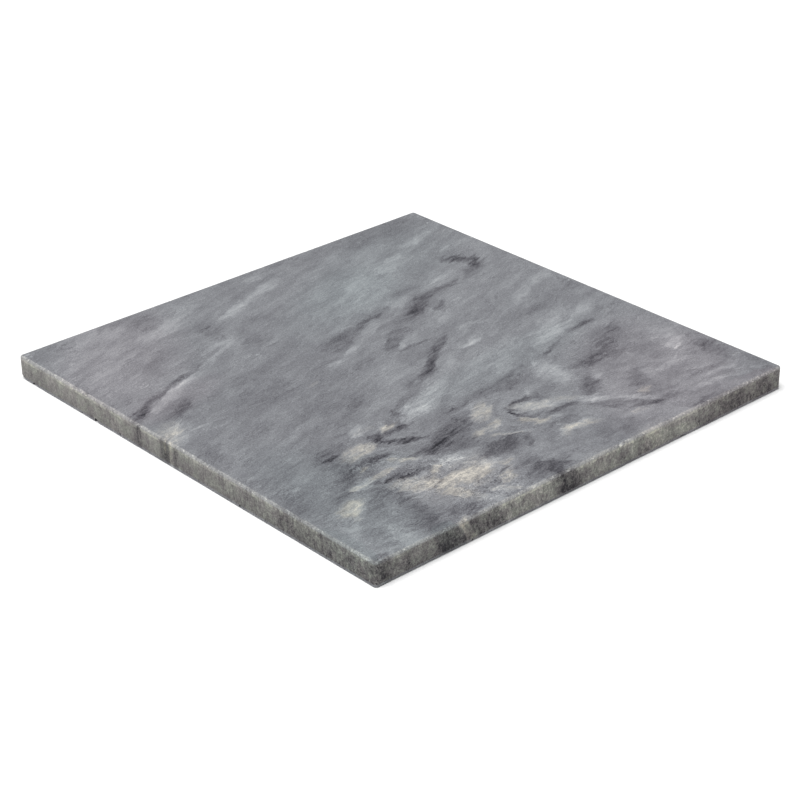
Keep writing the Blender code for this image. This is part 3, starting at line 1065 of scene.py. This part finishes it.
GREYS = [
    (0.0, linear(60, 60, 64)),
    (0.22, linear(99, 98, 103)),
    (0.5, linear(141, 142, 146)),
    (0.75, linear(174, 176, 179)),
    (1.0, linear(214, 215, 214)),
]
patchy_cream = cream * (0.8 + clusters * 1.1 + strands * 2.2)
grey_place = ramp_between(tone + patchy_cream, -TONE_RANGE, TONE_RANGE)
greys = start.node("ShaderNodeValToRGB", {"stops": GREYS}, {0: grey_place})
print("greys:", len(GREYS), "stops")

# %% [markdown]
# Hues are laid over the greys as filters, which multiply a colour as tinted glass does. The
# first is cream, where the crystals are large. The second leans the grey to plum or to steel
# blue. The third gives the ground sides their brown and olive, in blotches. The last makes the
# bruised strip chalky.

# %% Finish: filters over the greys
NO_CHANGE = (1.0, 1.0, 1.0, 1.0)
CREAMY = (1.06, 0.99, 0.885, 1.0)
PLUM = (1.03, 0.985, 1.0, 1.0)
STEEL_BLUE = (0.94, 1.0, 0.995, 1.0)
BROWN = (1.02, 0.95, 0.855, 1.0)
OLIVE = (0.98, 0.965, 0.82, 1.0)
CHALK = (1.03, 1.0, 0.95, 1.0)


def mix_colours(mask, first, second):
    settings = {"data_type": "RGBA", "blend_type": "MIX"}
    return mask.node("ShaderNodeMix", settings, {0: mask, 6: first, 7: second}, give=2)


cream_filter = mix_colours(ease_between(patchy_cream, 0, CREAM_TONE), NO_CHANGE, CREAMY)
cast_filter = mix_colours(cast * (0.5 - ground * 0.35) + 0.5, PLUM, STEEL_BLUE)
side_hue = mix_colours(ease_between(blotches, -0.12, 0.12), BROWN, OLIVE)
side_filter = mix_colours(ground, NO_CHANGE, side_hue)
rim_filter = mix_colours(upper_rim * (1 - ground), NO_CHANGE, CHALK)
colour = greys
for colour_filter in (cream_filter, cast_filter, side_filter, rim_filter):
    colour = colour.vector("MULTIPLY", colour, colour_filter)
print("stone finish so far:", len(stone_tree.nodes), "nodes")

# %% [markdown]
# Gloss is part of the finish. The honed face has a dull sheen with a few duller smudges, while
# the ground sides and fresh chips have almost none. The fine relief comes from a Bump node, which
# reads only its own small noises, because everything that feeds it is worked out three times.

# %% Finish: gloss and relief
HONED_ROUGHNESS = 0.5
GROUND_ROUGHNESS = 0.82
HONED_RELIEF = 0.012
GROUND_RELIEF = 0.11
SHEEN = 0.45

rough_parts = larger(ground, broken)
smudges = noise(mm, 22.0, 4.0, 0.6) - 0.5
roughness = HONED_ROUGHNESS + smudges * 0.16 + crystals * 0.12
roughness = roughness + rough_parts * (GROUND_ROUGHNESS - HONED_ROUGHNESS)
honed_height = noise(mm, 0.8, 2.0, 0.6) * HONED_RELIEF
ground_height = noise(mm, 0.9, 3.0, 0.7) * GROUND_RELIEF
height = honed_height + rough_parts * ground_height
relief = height.node("ShaderNodeBump", sockets={"Strength": 1.0, "Distance": MM, "Height": height})

stone_tree.links.new(colour.socket, shader_node.inputs["Base Color"])
stone_tree.links.new(roughness.socket, shader_node.inputs["Roughness"])
stone_tree.links.new(relief.socket, shader_node.inputs["Normal"])
shader_node.inputs["Specular IOR Level"].default_value = SHEEN
print("stone finish:", len(stone_tree.nodes), "nodes")

# %% [markdown]
# ## Putting the slab together
# Both recipes hang on one empty piece. Their result is then made a plain mesh, the modifiers are
# taken off, and the finished piece rides on the model's only body in place of the plain slab.

# %% The slab
CHIPS_PER_RIM = 110
slab_stone = bpy.data.objects.new("slab_stone", bpy.data.meshes.new("empty"))
bpy.context.scene.collection.objects.link(slab_stone)
sizes = {
    "Width": WIDTH,
    "Depth": DEPTH,
    "Thickness": THICKNESS,
    "Rim Radius": RIM_RADIUS,
    "Material": stone,
}
block_sizes = {
    "Corner Radius": CORNER_RADIUS,
    "Rim Wander": 0.5,
    "Lower Rim Share": 0.4,
    "Side Hollows": 0.12 * MM,
}
chip_sizes = {
    "Chips per Rim": CHIPS_PER_RIM,
    "Smallest": 0.35 * MM,
    "Largest": 1.7 * MM,
    "Known Chips": chip_marker,
    "Seed": 7,
}
hang_recipe(slab_stone, block_tree, sizes | block_sizes)
hang_recipe(slab_stone, chip_tree, sizes | chip_sizes)

bpy.context.view_layer.update()
depsgraph = bpy.context.evaluated_depsgraph_get()
finished = bpy.data.meshes.new_from_object(slab_stone.evaluated_get(depsgraph), depsgraph=depsgraph)
finished.name = "slab_stone"
slab_stone.modifiers.clear()
slab_stone.data = finished
bpy.data.objects.remove(chip_marker)
finished.calc_loop_triangles()
print("slab_stone:", len(finished.vertices), "points,", len(finished.loop_triangles), "triangles")

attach(slab_stone, "root")
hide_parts("slab")

# %% [markdown]
# ## The studio
# The slab lies on a wide pale floor. A sun lamp with a very wide disc stands in for a large soft box: it
# has no fall-off, so the floor is equally bright out to the far edge of the view. It leans a little to
# the front, so that the front side is brighter than the right-hand one and the honed face is the
# brightest of all. An even sky and the light thrown back by the floor fill the rest.

# %% Floor
FLOOR_RADIUS = 14.0
FLOOR_GAP = 0.2 * MM

floor_mesh = bpy.data.meshes.new("floor")
signs = [(-1, -1), (1, -1), (1, 1), (-1, 1)]
floor_corners = [(FLOOR_RADIUS * x, FLOOR_RADIUS * y, -FLOOR_GAP) for x, y in signs]
floor_mesh.from_pydata(floor_corners, [], [(0, 1, 2, 3)])
floor = bpy.data.objects.new("floor", floor_mesh)
bpy.context.scene.collection.objects.link(floor)
floor_paint = bpy.data.materials.new("pale_floor")
floor_paint.use_nodes = True
floor_shader = floor_paint.node_tree.nodes["Principled BSDF"]
floor_shader.inputs["Base Color"].default_value = (0.9, 0.9, 0.9, 1.0)
floor_shader.inputs["Roughness"].default_value = 0.9
floor_shader.inputs["Specular IOR Level"].default_value = 0.2
floor_mesh.materials.append(floor_paint)
print("floor:", 2 * FLOOR_RADIUS, "m square")

# %% Sky and soft lamp
SKY_STRENGTH = 0.25
LAMP_STRENGTH = 3.5
LAMP_DISC = math.radians(45)
LAMP_LEAN = math.radians(15)

world = bpy.data.worlds.new("studio")
world.use_nodes = True
sky = world.node_tree.nodes["Background"]
sky.inputs["Color"].default_value = (1.0, 1.0, 1.0, 1.0)
sky.inputs["Strength"].default_value = SKY_STRENGTH
bpy.context.scene.world = world

lamp = bpy.data.lights.new("soft_lamp", "SUN")
lamp.energy = LAMP_STRENGTH
lamp.angle = LAMP_DISC
soft_lamp = bpy.data.objects.new("soft_lamp", lamp)
soft_lamp.rotation_euler = (LAMP_LEAN, 0.0, 0.0)
bpy.context.scene.collection.objects.link(soft_lamp)
bpy.context.scene.view_settings.view_transform = "Standard"
print("lamp leans", round(math.degrees(LAMP_LEAN)), "degrees to the front")

# %% [markdown]
# The camera stands off the front right corner, a good metre away, and looks down at a little
# under thirty degrees through a long lens, so that the far edges converge only slightly.

# %% Camera
VIEW_TURN = math.radians(47.967)
VIEW_TILT = math.radians(27.794)
VIEW_ROLL = math.radians(-0.533)
VIEW_DISTANCE = 4.0586 * WIDTH
SLIDE_RIGHT = 0.0045 * WIDTH
SLIDE_UP = -0.0323 * WIDTH
LENS = 98.13

back = Vector(
    (
        math.sin(VIEW_TURN) * math.cos(VIEW_TILT),
        -math.cos(VIEW_TURN) * math.cos(VIEW_TILT),
        math.sin(VIEW_TILT),
    )
)
level_right = Vector((0, 0, 1)).cross(back).normalized()
level_up = back.cross(level_right)
right = math.cos(VIEW_ROLL) * level_right + math.sin(VIEW_ROLL) * level_up
up = -math.sin(VIEW_ROLL) * level_right + math.cos(VIEW_ROLL) * level_up
eye = back * VIEW_DISTANCE + SLIDE_RIGHT * right + SLIDE_UP * up

lens = bpy.data.cameras.new("camera")
lens.lens = LENS
lens.sensor_width = 36.0
camera = bpy.data.objects.new("camera", lens)
camera.matrix_world = Matrix([*zip(right, up, back, eye), (0, 0, 0, 1)])
bpy.context.scene.collection.objects.link(camera)
bpy.context.scene.camera = camera
print("camera at", [round(value, 3) for value in eye])
